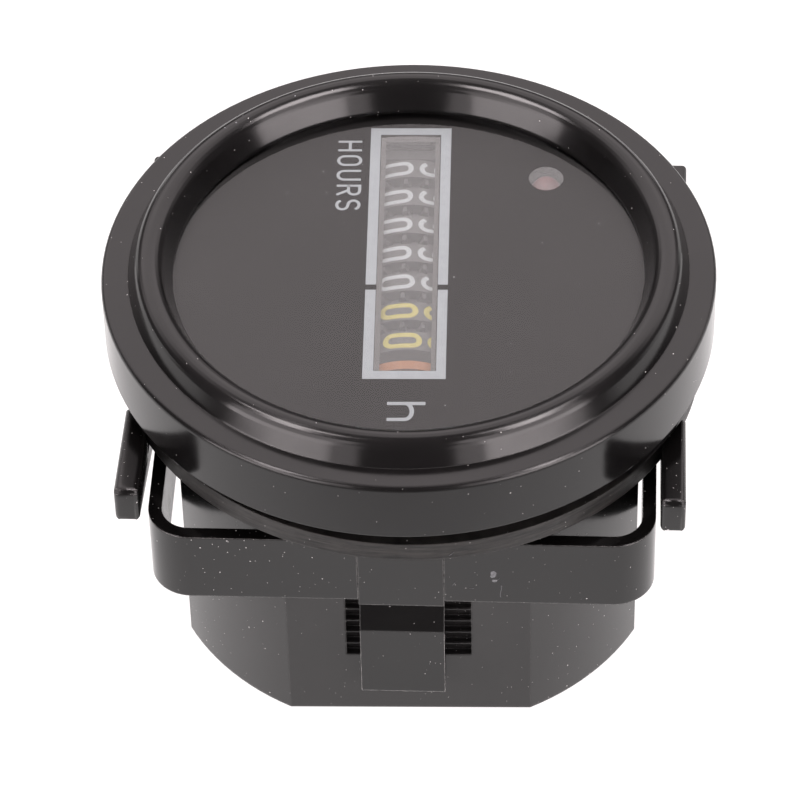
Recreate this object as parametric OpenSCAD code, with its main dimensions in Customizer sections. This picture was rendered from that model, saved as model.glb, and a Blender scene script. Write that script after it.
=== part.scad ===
// Panel hour meter: a round, glazed wheel counter that a ratchet bracket clamps in a panel.
// Z = 0 is the back of the bezel and +Z points out of the face. The lettering reads with
// its top towards +X, from +Y on the left to -Y on the right. All sizes are in millimetres.

/* [Housing] */
// Diameter of the round body behind the bezel
body_d = 50.5; // [50:0.25:52]
// Width across the body's four flats
flat_w = 44.6; // [44.2:0.2:46]
// Depth of the body behind the bezel
body_depth = 32.6; // [32.2:0.2:40]
// Thickness of the body's wall
wall = 1.8; // [1.6:0.1:2]
// Thickness of the body's floor
floor_t = 2; // [1.6:0.1:2.4]
// Thickness of the flange that the bezel snaps over
flange_t = 2; // [1.4:0.1:2.6]

/* [Bezel] */
// How far the bezel stands out beyond the body
bezel_over = 4.4; // [4:0.05:6]
// Height of the bezel's outer wall
bezel_h = 6.5; // [6.2:0.05:7.5]
// Thickness of the bezel's outer wall
bezel_wall = 1.75; // [1.4:0.05:1.9]
// Width of the flat rim outside the bead
rim_w = 2.6; // [2.2:0.1:3]
// Radius of the bead round the lens
bead_r = 1.5; // [1.3:0.1:1.6]
// Radius of the bezel's outer edge
edge_r = 0.45; // [0.2:0.05:0.8]

/* [Dial and lens] */
// Thickness of the lens
lens_t = 0.8; // [0.6:0.1:1]
// Thickness of the dial plate
dial_t = 0.8; // [0.6:0.1:1]
// Width of the counter's window
window_w = 5.9; // [5.5:0.05:6.6]
// Chamfer round the window's edge
window_edge = 0.5; // [0.2:0.05:0.6]
// Diameter of the lamp's hole in the dial
lamp_hole_d = 3.5; // [3.3:0.1:4]
// Place of the lamp towards the top of the lettering
lamp_x = 13.3; // [12.9:0.1:13.6]
// Place of the lamp towards the left of the lettering
lamp_y = 14; // [10:0.1:14]
// Diameter of the lamp
lamp_d = 3; // [2.6:0.1:3.2]

/* [Gasket] */
// Thickness of the panel gasket
gasket_t = 2.1; // [1.2:0.1:2.4]
// How far the gasket's edge lies inside the bezel's
gasket_inset = 1.2; // [0.9:0.1:2]
// How far the loose gasket hangs behind the bezel
gasket_drop = 2.3; // [0.7:0.1:2.6]
// Tilt of the loose gasket on the body, in degrees
gasket_tilt = 1.2; // [0:0.2:1.2]

/* [Bracket] */
// Wall of the bracket's frame
frame_wall = 1.3; // [1:0.05:1.4]
// Height of the bracket's frame
frame_h = 8.2; // [7:0.05:8.5]
// Distance of the frame's upper edge from the bezel
frame_top = 6.8; // [6.4:0.1:7.4]
// Play between the frame and the ratchet flats
play_ratchet = 0.35; // [0.35:0.05:0.5]
// Play between the frame and the side flats
play_side = 0.65; // [0.45:0.05:0.9]
// Turn of the loose frame on the body, in degrees
frame_turn = -1.4; // [-1.4:0.2:1.4]
// Outer radius of the frame's corners
frame_corner = 4; // [2.4:0.1:4.5]
// Width of the ratchet tongues
tongue_w = 8.2; // [6:0.05:9]
// Length of the tongues below the frame
tongue_l = 13.3; // [12:0.1:16]
// Width of the spring wings
wing_w = 2.35; // [2:0.05:3]
// Length of the spring wings from tip to tip
wing_l = 47.2; // [44:0.2:48]
// How far the wings' outer faces lie inside the bezel's edge
wing_inset = 2.7; // [1.6:0.1:2.7]
// Slope of the spring wings, in degrees
wing_slope = 8; // [5:1:10]
// Distance of the wings' tips from the bezel
wing_top = 1; // [0.8:0.1:2]
// Pitch of the ratchet rack
rack_pitch = 1.655; // [1.4:0.005:1.8]
// Depth of the ratchet rack
rack_depth = 0.8; // [0.5:0.05:0.9]
// Width of the ratchet rack
rack_w = 12.2; // [11:0.1:14]

/* [Counter] */
// Spacing of the digit wheels
wheel_pitch = 4.05; // [3.95:0.05:4.15]
// Diameter of the digit wheels
wheel_d = 13.8; // [13.2:0.1:14]
// Width of a wheel's digit band
band_w = 2.5; // [2.3:0.05:2.9]
// Diameter of the counter's shaft
shaft_d = 1.5; // [1.2:0.1:1.8]
// Diameter of the transfer pinions' shaft
pinion_shaft_d = 1.2; // [1:0.1:1.4]
// Thickness of the counter frame's cheeks
cheek_t = 1.3; // [1.1:0.1:1.5]

/* [Motor] */
// Diameter of the rotor's magnet
magnet_d = 5; // [4:0.1:5.4]
// Thickness of the stator plate
stator_t = 1; // [0.8:0.1:1.2]
// Diameter of the coil's winding
coil_d = 6.1; // [5:0.1:6.2]
// Length of the coil's winding
coil_l = 11.4; // [10:0.1:11.6]

/* [Terminals] */
// Width of the blade terminals
blade_w = 6.3; // [4.8:0.1:6.3]
// Thickness of the blade terminals
blade_t = 0.8; // [0.5:0.1:0.8]
// Length of the blades behind the body
blade_l = 8; // [7:0.5:10]
// Spacing of the two blades
blade_gap = 12; // [11:0.5:12.5]

/* [Hidden] */
big_fn = 72;
small_fn = 32;
join = 0.2;
end_play = 0.05;
run_fit = 0.03;
seat_fit = 0.1;

// Stack of the front: bezel, lens, dial and the neck that carries them
bezel_r = body_d / 2 + bezel_over;
glass_drop = 0.6;
lens_z = bezel_h - glass_drop;
print_t = 0.02;
dial_z = lens_z - lens_t - print_t;
neck_z = dial_z - dial_t;
body_r = body_d / 2;
in_r = body_r - wall;
in_flat = flat_w / 2 - wall;
floor_z = floor_t - body_depth;

// Section of the bezel
bead_lean = 25;
cone_lean = 26;
bead_rise = 0.9;
lip_drop = 0.2;
lip_z = bezel_h - lip_drop;
bead_z = bezel_h + bead_rise;
bead_foot = bezel_r - rim_w;
bead_c = bead_foot - bead_r * cos(bead_lean)
    - (bead_z + bead_r * sin(bead_lean) - bezel_h) * tan(bead_lean);
opening_r = bead_c - bead_r * cos(cone_lean)
    - (bead_z + bead_r * sin(cone_lean) - lip_z) * tan(cone_lean);
seat_r = bead_foot - 0.25;
disc_r = seat_r - 0.15;
rim_t = 1.6;
bezel_in_r = bezel_r - bezel_wall;
hook_h = 0.4;
hook_r = bezel_in_r - 0.45;
flange_r = bezel_in_r - seat_fit;

// Bracket
frame_x = flat_w / 2 + play_side;
frame_y = flat_w / 2 + play_ratchet;
frame_bottom = -frame_top - frame_h;
slit_w = 0.06;
slit_top = -frame_top - 1.2;
tongue_end = frame_bottom - tongue_l;
groove_top = frame_bottom - 0.75;
groove_depth = 1.05;
groove_neck = 1.05;
knee_depth = 0.45;
knee_drop = 2.65;
groove_l = 3.8;
rib_h = 2.25;
tooth_z = groove_top - rib_h;
tooth_in = play_ratchet - 0.15;
gasket_bottom = -gasket_drop - gasket_t;
gasket_r = bezel_r - gasket_inset;
arm_z = gasket_bottom - 0.9;
arm_h = 3.85;
root_l = 9;
root_z = arm_z - arm_h - 1.5;
wing_gap = 0.2;
wing_x = max(frame_x + frame_wall + wing_gap, bezel_r - wing_inset - wing_w);
rack_ledges_up = 6;
rack_teeth = 10;
rack_rest = 0.08;
rack_z = tooth_z - rack_rest + rack_ledges_up * rack_pitch;

// Counter: places along Y, from the left cheek to the right
digits = 7;
wheel_r = wheel_d / 2;
base_half = 10;
frame_gap = 0.3;
drive_gap = 0.575;
drum_t = 1.1;
drive_gear_t = 0.5;
drive_t = drum_t + drive_gear_t;
mid_gap = 0.3;
mid_gear_t = 0.8;
magnet_gap = 0.4;
magnet_t = 1.5;
stator_gap = 0.35;
motor_l = drive_gap + drive_t + mid_gap + mid_gear_t + magnet_gap + (magnet_t + stator_t) / 2
    + stator_gap;
counter_l = 2 * cheek_t + end_play + wheel_pitch * digits + motor_l;
half_room = min(in_flat, sqrt(pow(in_r, 2) - pow(base_half, 2)));
left_out_y = half_room - min(frame_gap, half_room - counter_l / 2);
left_in_y = left_out_y - cheek_t;
function wheel_y(k) = left_in_y - end_play - wheel_pitch * (k + 0.5);
hub_l = wheel_pitch - 0.02;
hub_r = shaft_d / 2 + 0.85;
last_y = wheel_y(digits - 1);
drive_y = last_y - wheel_pitch / 2 - drive_gap;
drum_end_y = drive_y - drum_t;
drive_end_y = drive_y - drive_t;
mid_gear_y = drive_end_y - mid_gap;
mid_end_y = mid_gear_y - mid_gear_t;
magnet_y = mid_end_y - magnet_gap;
magnet_end_y = magnet_y - magnet_t;
stator_y = magnet_y - (magnet_t - stator_t) / 2;
stator_end_y = stator_y - stator_t;
right_in_y = stator_end_y - stator_gap;
right_out_y = right_in_y - cheek_t;
window_x = -0.15;
window_left_margin = 1.45;
window_right_margin = 1.65;
window_top_y = left_in_y + window_left_margin;
window_end_y = drum_end_y - window_right_margin;

// Counter: gears
wheel_z = neck_z - 0.45 - wheel_r;
tip_share = 0.75;
root_share = 1;
ring_teeth = 20;
pinion_teeth = 8;
ring_m = (wheel_r - 0.25) / (ring_teeth / 2 + tip_share);
mesh_gap = 0.05;
pinion_away = ring_m * (ring_teeth + pinion_teeth) / 2 + mesh_gap;
pinion_dir = 230;
pinion_x = pinion_away * cos(pinion_dir);
pinion_z = wheel_z + pinion_away * sin(pinion_dir);
pinion_r = ring_m * (pinion_teeth / 2 + tip_share);
pinion_hub_r = pinion_shaft_d / 2 + 0.6;
wheel_gap = wheel_pitch - band_w;
ring_t = (wheel_gap - 0.15) / 2;
carry_r = pinion_away - pinion_r - 0.25;
drive_teeth = 48;
drum_r = wheel_r - 0.15;
drum_step = 0.5;
drive_m = (drum_r - drum_step) / (drive_teeth / 2 + tip_share);
mid_away = drive_m * (drive_teeth + pinion_teeth) / 2 + mesh_gap;
mid_dir = -63;
mid_x = mid_away * cos(mid_dir);
mid_z = wheel_z + mid_away * sin(mid_dir);
mid_teeth = 40;
mid_m = 0.25;
mid_arbor_r = 0.5;
rotor_away = mid_m * (mid_teeth + pinion_teeth) / 2 + mesh_gap;
rotor_z = mid_z - sqrt(pow(rotor_away, 2) - pow(mid_x, 2));
rotor_dir = atan2(rotor_z - mid_z, -mid_x);
rotor_arbor_r = 0.4;

// Motor and counter frame
stator_half = 10;
boss_t = 0.6;
pinion_boss_r = pinion_hub_r + 0.1;
boss_gap = 0.25;
stator_up = min(mid_z - mid_arbor_r - boss_t, pinion_z - pinion_boss_r) - boss_gap - rotor_z;
leg_w = 2.8;
leg_mid = stator_half - leg_w / 2;
rotor_hole_r = magnet_d / 2 + 0.4;
coil_r = coil_d / 2;
hole_web = 0.4;
coil_z = rotor_z - rotor_hole_r - hole_web - 0.2 - coil_r;
core_y = stator_y + stator_t;
coil_y = stator_y + stator_t / 2;
core_h = 2.6;
bobbin_r = 1.9;
bobbin_flange_r = coil_r + 0.15;
bobbin_flange_t = 0.8;
base_t = 1.5;
base_top = coil_z - bobbin_flange_r - 0.3;
base_z = base_top - base_t;
cheek_half = 9.8;
cheek_head = 3.2;
cheek_up = 6.2;
post_r = 1.6;
screw_r = 0.8;
screw_head_r = 1.4;
screw_head_h = 0.7;
screw_bite = 1.5;
screw_end_gap = 0.3;
pillar_r = 2.1;
pillar_x = 8.3;
pillar_ys = [drive_y - 0.6, left_in_y - 4];

// Lamp and circuit board
leg_half = 0.25;
board_x = lamp_x + leg_half;
board_t = 1.6;
board_out_x = board_x + board_t;
board_gap = 0.6;
board_half = min(in_flat, sqrt(pow(in_r, 2) - pow(board_out_x, 2))) - board_gap;
lamp_z = dial_z - 0.25;
lamp_flange_r = lamp_d / 2 + 0.4;
lamp_flange_z = lamp_z - 5.3;
board_top = lamp_flange_z - 2.4;
function board_up(share) = floor_z + share * (board_top - floor_z);
function board_along(share) = share * board_half;
slot_depth = 1.6;
slot_lip = 1.3;
slot_top = board_up(0.59);
foot_w = 3.5;
tab_l = 5;

// Points of an arc about [x, y]
function arc(x, y, r, from, to, n) =
    [for (i = [0:n]) let (a = from + (to - from) * i / n) [x + r * cos(a), y + r * sin(a)]];

// Outline of a gear with straight-flanked teeth, one of them at the angle turn
function gear_points(teeth, m, turn) =
    let (half = 72 / teeth, r = m * teeth / 2)
    [for (i = [0:teeth - 1])
        for (p = [[-1.35, -root_share], [-0.45, tip_share], [0.45, tip_share], [1.35, -root_share]])
            let (a = turn + 360 * i / teeth + half * p[0], q = r + m * p[1])
                [q * cos(a), q * sin(a)]];

// Turns a flat XZ outline into a slab that runs from y towards -Y
module slab(y, t) {
    translate([0, y, 0])
        rotate([90, 0, 0])
            linear_extrude(t)
                children();
}

// Rod along -Y from y at the place [x, z]
module rod(x, z, y, l, r) {
    translate([x, y, z])
        rotate([90, 0, 0])
            cylinder(r = r, h = l, $fn = small_fn);
}

// Rod along +X from x
module cross_rod(x, y, z, l, r) {
    translate([x, y, z])
        rotate([0, 90, 0])
            cylinder(r = r, h = l, $fn = small_fn);
}

module rounded_rect(x, y, r) {
    square([2 * x - 2 * r, 2 * y], center = true);
    square([2 * x, 2 * y - 2 * r], center = true);
    for (sx = [-1, 1], sy = [-1, 1])
        translate([sx * (x - r), sy * (y - r)])
            circle(r, $fn = small_fn);
}

// Round outline cut by four flats
module flatted_round(r, flat) {
    intersection() {
        circle(r, $fn = big_fn);
        square(2 * flat, center = true);
    }
}

module bezel() {
    foot_chamfer = 0.1;
    color("#141414")
        rotate_extrude($fn = big_fn)
            polygon(concat(
                [[hook_r, 0], [bezel_r - foot_chamfer, 0], [bezel_r, foot_chamfer]],
                arc(bezel_r - edge_r, bezel_h - edge_r, edge_r, 0, 90, 4),
                [[bead_foot, bezel_h]],
                arc(bead_c, bead_z, bead_r, bead_lean, 180 - cone_lean, 10),
                [[opening_r, lip_z], [opening_r, lens_z], [seat_r, lens_z], [seat_r, bezel_h - rim_t],
                    [bezel_in_r, bezel_h - rim_t], [bezel_in_r, hook_h], [hook_r, hook_h]]));
}

module lens() {
    color("#d8dcdc", 0.35)
        translate([0, 0, lens_z - lens_t])
            cylinder(r = disc_r, h = lens_t, $fn = big_fn);
}

// Chamfered cut of one direction of the window: its section, from a half width at the dial's face
module chamfer_section(from, to) {
    polygon([[from + window_edge, neck_z - join], [to - window_edge, neck_z - join],
        [to - window_edge, dial_z - window_edge], [to + join, dial_z + join],
        [from - join, dial_z + join], [from + window_edge, dial_z - window_edge]]);
}

module window_cut() {
    intersection() {
        slab(window_top_y + 1, window_top_y - window_end_y + 2)
            chamfer_section(window_x - window_w / 2, window_x + window_w / 2);
        translate([window_x - window_w / 2 - 1, 0, 0])
            rotate([90, 0, 90])
                linear_extrude(window_w + 2)
                    chamfer_section(window_end_y, window_top_y);
    }
}

module dial_plate() {
    color("#2b2b2b")
        difference() {
            translate([0, 0, neck_z])
                cylinder(r = disc_r, h = dial_t, $fn = big_fn);
            window_cut();
            translate([lamp_x, lamp_y, neck_z - join])
                cylinder(d = lamp_hole_d, h = dial_t + 2 * join, $fn = small_fn);
        }
}

// Indicator lamp: a round-nosed body with a flange and two square legs
module lamp() {
    r = lamp_d / 2;
    leg_pitch = 2.54;
    leg_l = 7;
    color("#c8403a") {
        translate([lamp_x, lamp_y, lamp_flange_z]) {
            cylinder(r = lamp_flange_r, h = 1, $fn = small_fn);
            rotate_extrude($fn = small_fn)
                polygon(concat([[0, 0]], [[r, 0]],
                    arc(0, lamp_z - lamp_flange_z - r, r, 0, 90, 6)));
        }
        for (side = [-1, 1])
            translate([lamp_x - leg_half, lamp_y + side * leg_pitch / 2 - leg_half,
                    lamp_flange_z - leg_l])
                cube([2 * leg_half, 2 * leg_half, leg_l + join]);
    }
}

module panel_gasket() {
    grip = 0.05;
    color("#1d1d1d")
        translate([0, 0, gasket_bottom + gasket_t / 2])
            rotate([0, gasket_tilt, 0])
                difference() {
                    cylinder(r = gasket_r, h = gasket_t, center = true, $fn = big_fn);
                    cylinder(r = body_r + grip, h = gasket_t + 2 * join, center = true, $fn = big_fn);
                }
}

// Sawtooth cut of one ratchet rack, on the flat that faces -Y: ledges up, slopes down
module rack_cut() {
    face = -flat_w / 2;
    teeth = [for (k = [0:rack_teeth - 1])
        for (p = [[face, rack_z - k * rack_pitch],
                [face + rack_depth, rack_z - (k + 1) * rack_pitch]]) p];
    translate([-rack_w / 2, 0, 0])
        rotate([90, 0, 90])
            linear_extrude(rack_w)
                polygon(concat(teeth, [[face, rack_z - rack_teeth * rack_pitch],
                    [face - 1, rack_z - rack_teeth * rack_pitch], [face - 1, rack_z]]));
}

// Slotted post that holds one edge of the circuit board, on the side of +Y
module board_post() {
    h = slot_top - floor_z;
    difference() {
        translate([board_x - slot_lip, board_half - slot_depth, floor_z - join])
            cube([board_t + 2 * slot_lip, slot_depth + 1.2, h + join]);
        translate([board_x - end_play, board_half - slot_depth - join, floor_z])
            cube([board_t + 2 * end_play, slot_depth + join + end_play, h + join]);
    }
}

module housing() {
    color("#1a1a1a")
        difference() {
            union() {
                difference() {
                    union() {
                        translate([0, 0, -body_depth])
                            linear_extrude(body_depth + hook_h + join)
                                flatted_round(body_r, flat_w / 2);
                        translate([0, 0, hook_h])
                            cylinder(r = flange_r, h = flange_t, $fn = big_fn);
                        translate([0, 0, hook_h])
                            cylinder(r = body_r, h = neck_z - hook_h, $fn = big_fn);
                    }
                    translate([0, 0, floor_z])
                        linear_extrude(hook_h + flange_t - floor_z)
                            flatted_round(in_r, in_flat);
                    translate([0, 0, hook_h + flange_t - join])
                        cylinder(r = in_r, h = neck_z, $fn = big_fn);
                }
                for (x = [-pillar_x, pillar_x], y = pillar_ys)
                    translate([x, y, floor_z - join])
                        cylinder(r = pillar_r, h = base_z - floor_z + join, $fn = small_fn);
                board_post();
                mirror([0, 1, 0])
                    board_post();
            }
            for (x = [-pillar_x, pillar_x], y = pillar_ys)
                translate([x, y, base_z - screw_bite - screw_end_gap])
                    cylinder(r = screw_r, h = screw_bite + screw_end_gap + join, $fn = small_fn);
            for (side = [-1, 1])
                translate([-blade_t / 2, side * blade_gap / 2 - blade_w / 2, -body_depth - join])
                    cube([blade_t, blade_w, floor_t + 2 * join]);
            rack_cut();
            mirror([0, 1, 0])
                rack_cut();
        }
}

// Blade terminal: the blade passes the floor, and its foot runs to a solder tab on the board
module terminal(side) {
    y = side * blade_gap / 2;
    tip = 1;
    hole_r = 0.8;
    hole_up = 3;
    end_z = -body_depth - blade_l;
    color("#c9c4b4") {
        difference() {
            translate([-blade_t / 2, 0, 0])
                rotate([90, 0, 90])
                    linear_extrude(blade_t)
                        polygon([[y - blade_w / 2 + tip, end_z], [y + blade_w / 2 - tip, end_z],
                            [y + blade_w / 2, end_z + tip], [y + blade_w / 2, floor_z + blade_t],
                            [y - blade_w / 2, floor_z + blade_t], [y - blade_w / 2, end_z + tip]]);
            translate([-blade_t, y, end_z + hole_up])
                rotate([0, 90, 0])
                    cylinder(r = hole_r, h = 2 * blade_t, $fn = small_fn);
        }
        translate([-blade_t / 2, y - foot_w / 2, floor_z])
            cube([board_x + blade_t / 2, foot_w, blade_t]);
        translate([board_x - blade_t, y - foot_w / 2, floor_z])
            cube([blade_t, foot_w, tab_l]);
    }
}

// Ratchet tongue on the side of -Y: an undercut groove outside, a ratchet rib inside
module tongue() {
    inner = -frame_y;
    outer = -frame_y - frame_wall;
    rib_start = 0.6;
    rib_full = 0.2;
    translate([-tongue_w / 2, 0, 0])
        rotate([90, 0, 90])
            linear_extrude(tongue_w)
                polygon([[inner, frame_bottom + 1], [inner, groove_top + rib_start],
                    [inner + tooth_in, groove_top - rib_full], [inner + tooth_in, tooth_z],
                    [inner, tooth_z], [inner, tongue_end], [outer, tongue_end],
                    [outer, groove_top - groove_l], [outer + knee_depth, groove_top - knee_drop],
                    [outer + groove_depth, groove_top - groove_neck],
                    [outer + groove_depth, groove_top], [outer, groove_top],
                    [outer, frame_bottom + 1]]);
}

// Spring wing on the side of +X: a root on the frame and two rising arms, hollowed for the gasket
module wing() {
    tip = wing_l / 2;
    root = root_l / 2;
    tip_edge = 0.4;
    top_in = 11;
    x = frame_x + frame_wall;
    half = [[0, root_z], [root, root_z], [root + 2, arm_z - arm_h], [tip, -wing_top - arm_h],
        [tip, -wing_top - tip_edge], [tip - tip_edge, -wing_top],
        [top_in, -wing_top - (tip - top_in) * tan(wing_slope)], [top_in - 0.5, arm_z], [0, arm_z]];
    difference() {
        for (side = [0, 1])
            mirror([0, side, 0])
                translate([wing_x, 0, 0])
                    rotate([90, 0, 90])
                        linear_extrude(wing_w)
                            polygon(half);
        translate([0, 0, arm_z + 0.1])
            cylinder(r = gasket_r + 0.25, h = -arm_z, $fn = big_fn);
    }
    translate([x - join, -root, root_z])
        cube([wing_x - x + 2 * join, root_l, -frame_top - root_z]);
}

module mounting_bracket() {
    color("#191919")
        rotate([0, 0, frame_turn]) {
            difference() {
                translate([0, 0, frame_bottom])
                    linear_extrude(frame_h)
                        difference() {
                            rounded_rect(frame_x + frame_wall, frame_y + frame_wall, frame_corner);
                            rounded_rect(frame_x, frame_y, frame_corner - frame_wall);
                        }
                for (turn = [0, 180], side = [-1, 1])
                    rotate([0, 0, turn])
                        translate([side * (tongue_w + slit_w) / 2 - slit_w / 2,
                                -frame_y - frame_wall - 1, frame_bottom - join])
                            cube([slit_w, frame_wall + 2, slit_top - frame_bottom + join]);
            }
            for (turn = [0, 180])
                rotate([0, 0, turn]) {
                    tongue();
                    wing();
                }
        }
}

// Outline of a cheek of the counter frame, with a square head that closes the end of the window
module cheek_outline() {
    translate([-cheek_head, wheel_z - join])
        square([2 * cheek_head, cheek_up + join]);
    polygon([[-cheek_half, base_z], [cheek_half, base_z], [cheek_half, rotor_z + 3],
        [cheek_head, wheel_z], [-cheek_head, wheel_z], [pinion_x - 2.4, pinion_z + 1],
        [-cheek_half, rotor_z + 3]]);
}

module counter_frame() {
    shafts = [[0, wheel_z, shaft_d / 2], [pinion_x, pinion_z, pinion_shaft_d / 2]];
    arbors = [[mid_x, mid_z, mid_arbor_r], [0, rotor_z, rotor_arbor_r]];
    all_l = left_out_y - right_out_y;
    pinion_end_y = wheel_y(digits - 1) + 0.01;
    color("#8b8d8a")
        difference() {
            union() {
                slab(left_out_y, cheek_t)
                    cheek_outline();
                slab(right_in_y, cheek_t)
                    cheek_outline();
                translate([-base_half, right_out_y, base_z])
                    cube([2 * base_half, all_l, base_t]);
                rod(pinion_x, pinion_z, left_in_y + join,
                    left_in_y + join - wheel_y(0) - end_play, pinion_boss_r);
                rod(pinion_x, pinion_z, pinion_end_y - end_play,
                    pinion_end_y - end_play - right_in_y + join, pinion_boss_r);
                rod(0, wheel_z, drive_end_y - end_play,
                    drive_end_y - end_play - right_in_y + join, hub_r);
                rod(mid_x, mid_z, mid_end_y - end_play,
                    mid_end_y - end_play - right_in_y + join, mid_arbor_r + boss_t);
                rod(0, rotor_z, magnet_end_y - end_play,
                    magnet_end_y - end_play - right_in_y + join, rotor_arbor_r + boss_t);
                for (side = [-1, 1])
                    rod(side * leg_mid, rotor_z, stator_end_y,
                        stator_end_y - right_in_y + join, post_r);
            }
            for (s = shafts)
                rod(s[0], s[1], left_out_y + join, all_l + 2 * join, s[2]);
            for (s = arbors)
                rod(s[0], s[1], drive_end_y, drive_end_y - right_out_y + join, s[2]);
            for (side = [-1, 1])
                rod(side * leg_mid, rotor_z, stator_end_y + join,
                    stator_end_y - right_out_y + 2 * join, screw_r);
            translate([-coil_l / 2 - 2, right_out_y - join, base_top])
                cube([coil_l + 4, cheek_t + 2 * join, 2 * bobbin_flange_r + 0.4]);
            for (x = [-pillar_x, pillar_x], y = pillar_ys)
                translate([x, y, base_z - join])
                    cylinder(r = screw_r, h = base_t + 2 * join, $fn = small_fn);
        }
}

module counter_shaft() {
    color("#b9bcc0")
        rod(0, wheel_z, left_out_y, left_out_y - right_out_y, shaft_d / 2);
}

module pinion_shaft() {
    color("#b9bcc0")
        rod(pinion_x, pinion_z, left_out_y, left_out_y - right_out_y, pinion_shaft_d / 2);
}

// Holes or pegs that key the last wheel to the drive gear
module key_pegs(y, l, r) {
    for (side = [-1, 1])
        rod(side * 3.2, wheel_z, y, l, r);
}

// Digit wheel k, counted from the left: hollow drum, gear ring on the right, carry teeth on the left
module digit_wheel(k) {
    y = wheel_y(k);
    half = band_w / 2;
    web = 1;
    rim = 1.1;
    ring_in = 4.4;
    first = k == 0;
    last = k == digits - 1;
    color("#202124")
        difference() {
            union() {
                translate([0, y, wheel_z])
                    rotate([90, 0, 0])
                        rotate_extrude($fn = small_fn)
                            polygon([[shaft_d / 2 + run_fit, -hub_l / 2], [hub_r, -hub_l / 2],
                                [hub_r, -half], [wheel_r, -half], [wheel_r, half],
                                [wheel_r - rim, half], [wheel_r - rim, web - half],
                                [hub_r, web - half], [hub_r, hub_l / 2],
                                [shaft_d / 2 + run_fit, hub_l / 2]]);
                if (!last)
                    slab(y - half + join, ring_t + join)
                        translate([0, wheel_z])
                            difference() {
                                polygon(gear_points(ring_teeth, ring_m,
                                    pinion_dir - 180 / ring_teeth));
                                circle(ring_in, $fn = small_fn);
                            }
                if (!first)
                    slab(y + half + ring_t, ring_t + join)
                        translate([0, wheel_z])
                            difference() {
                                union() {
                                    circle(carry_r - 0.5, $fn = small_fn);
                                    for (a = [-9, 9])
                                        rotate(90 + a)
                                            translate([carry_r - 1.2, -0.3])
                                                square([1.2, 0.6]);
                                }
                                circle(hub_r - join, $fn = small_fn);
                            }
            }
            if (last)
                key_pegs(y + half + ring_t + join, web + ring_t + 2 * join, 0.65);
        }
}

// Drive gear: a smooth drum beside the last wheel, with the gear behind it
module drive_gear() {
    web_in = last_y + band_w / 2 - 1;
    hub_y = last_y - hub_l / 2;
    color("#c8642b")
        difference() {
            union() {
                rod(0, wheel_z, drive_y, drum_t, drum_r);
                slab(drum_end_y + join, drive_gear_t + join)
                    translate([0, wheel_z])
                        polygon(gear_points(drive_teeth, drive_m, mid_dir - 180 / drive_teeth));
                rod(0, wheel_z, hub_y, hub_y - drive_end_y, hub_r);
                key_pegs(web_in + 0.8, web_in + 0.8 - drive_y + join, 0.6);
            }
            rod(0, wheel_z, hub_y + join, hub_y - drive_end_y + 2 * join, shaft_d / 2 + run_fit);
        }
}

// Transfer pinion p, between wheels p and p + 1
module transfer_pinion(p) {
    y = wheel_y(p) - wheel_pitch / 2;
    t = wheel_gap - 2 * end_play;
    color("#d9d6cc")
        difference() {
            union() {
                slab(y + t / 2, t)
                    translate([pinion_x, pinion_z])
                        polygon(gear_points(pinion_teeth, ring_m, pinion_dir + 180));
                rod(pinion_x, pinion_z, y + hub_l / 2, hub_l, pinion_hub_r);
            }
            rod(pinion_x, pinion_z, y + hub_l, 2 * hub_l, pinion_shaft_d / 2 + run_fit);
        }
}

module intermediate_wheel() {
    pinion_y = drum_end_y - 2 * end_play;
    color("#d9d6cc")
        difference() {
            union() {
                slab(pinion_y, pinion_y - mid_gear_y + join)
                    translate([mid_x, mid_z])
                        polygon(gear_points(pinion_teeth, drive_m, mid_dir + 180));
                slab(mid_gear_y, mid_gear_t)
                    translate([mid_x, mid_z])
                        polygon(gear_points(mid_teeth, mid_m, rotor_dir - 180 / mid_teeth));
            }
            rod(mid_x, mid_z, pinion_y + join, pinion_y - mid_end_y + 2 * join,
                mid_arbor_r + run_fit);
        }
}

// Plain arbor, pressed into the right cheek: the drum's face keeps its wheel on
module intermediate_arbor() {
    start_y = drum_end_y - 3 * end_play;
    color("#b9bcc0")
        rod(mid_x, mid_z, start_y, start_y - right_out_y, mid_arbor_r);
}

// Headed arbor, pressed into the right cheek, whose head keeps the rotor on
module rotor_arbor() {
    head_t = 0.3;
    start_y = mid_gear_y + 2 * end_play;
    color("#b9bcc0") {
        rod(0, rotor_z, start_y, start_y - right_out_y, rotor_arbor_r);
        rod(0, rotor_z, start_y + head_t, head_t, rotor_arbor_r + 0.35);
    }
}

module rotor() {
    pinion_y = mid_gear_y + 0.05;
    color("#5a5c60")
        difference() {
            union() {
                slab(pinion_y, mid_gear_t + 0.1)
                    translate([0, rotor_z])
                        polygon(gear_points(pinion_teeth, mid_m, rotor_dir + 180));
                rod(0, rotor_z, mid_end_y, mid_end_y - magnet_y + join, 1);
                rod(0, rotor_z, magnet_y, magnet_t, magnet_d / 2);
            }
            rod(0, rotor_z, pinion_y + join, pinion_y - magnet_end_y + 2 * join,
                rotor_arbor_r + run_fit);
        }
}

module stator() {
    color("#9a9da1")
        difference() {
            slab(stator_y, stator_t)
                difference() {
                    union() {
                        translate([-stator_half, rotor_z - rotor_hole_r - hole_web])
                            square([2 * stator_half, rotor_hole_r + hole_web + stator_up]);
                        for (side = [-1, 1])
                            translate([side * leg_mid - leg_w / 2, coil_z - core_h / 2])
                                square([leg_w, rotor_z - coil_z + core_h / 2]);
                    }
                    translate([0, rotor_z])
                        circle(rotor_hole_r, $fn = small_fn);
                }
            for (side = [-1, 1], z = [rotor_z, coil_z])
                rod(side * leg_mid, z, stator_y + join, stator_t + 2 * join, screw_r);
        }
}

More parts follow.
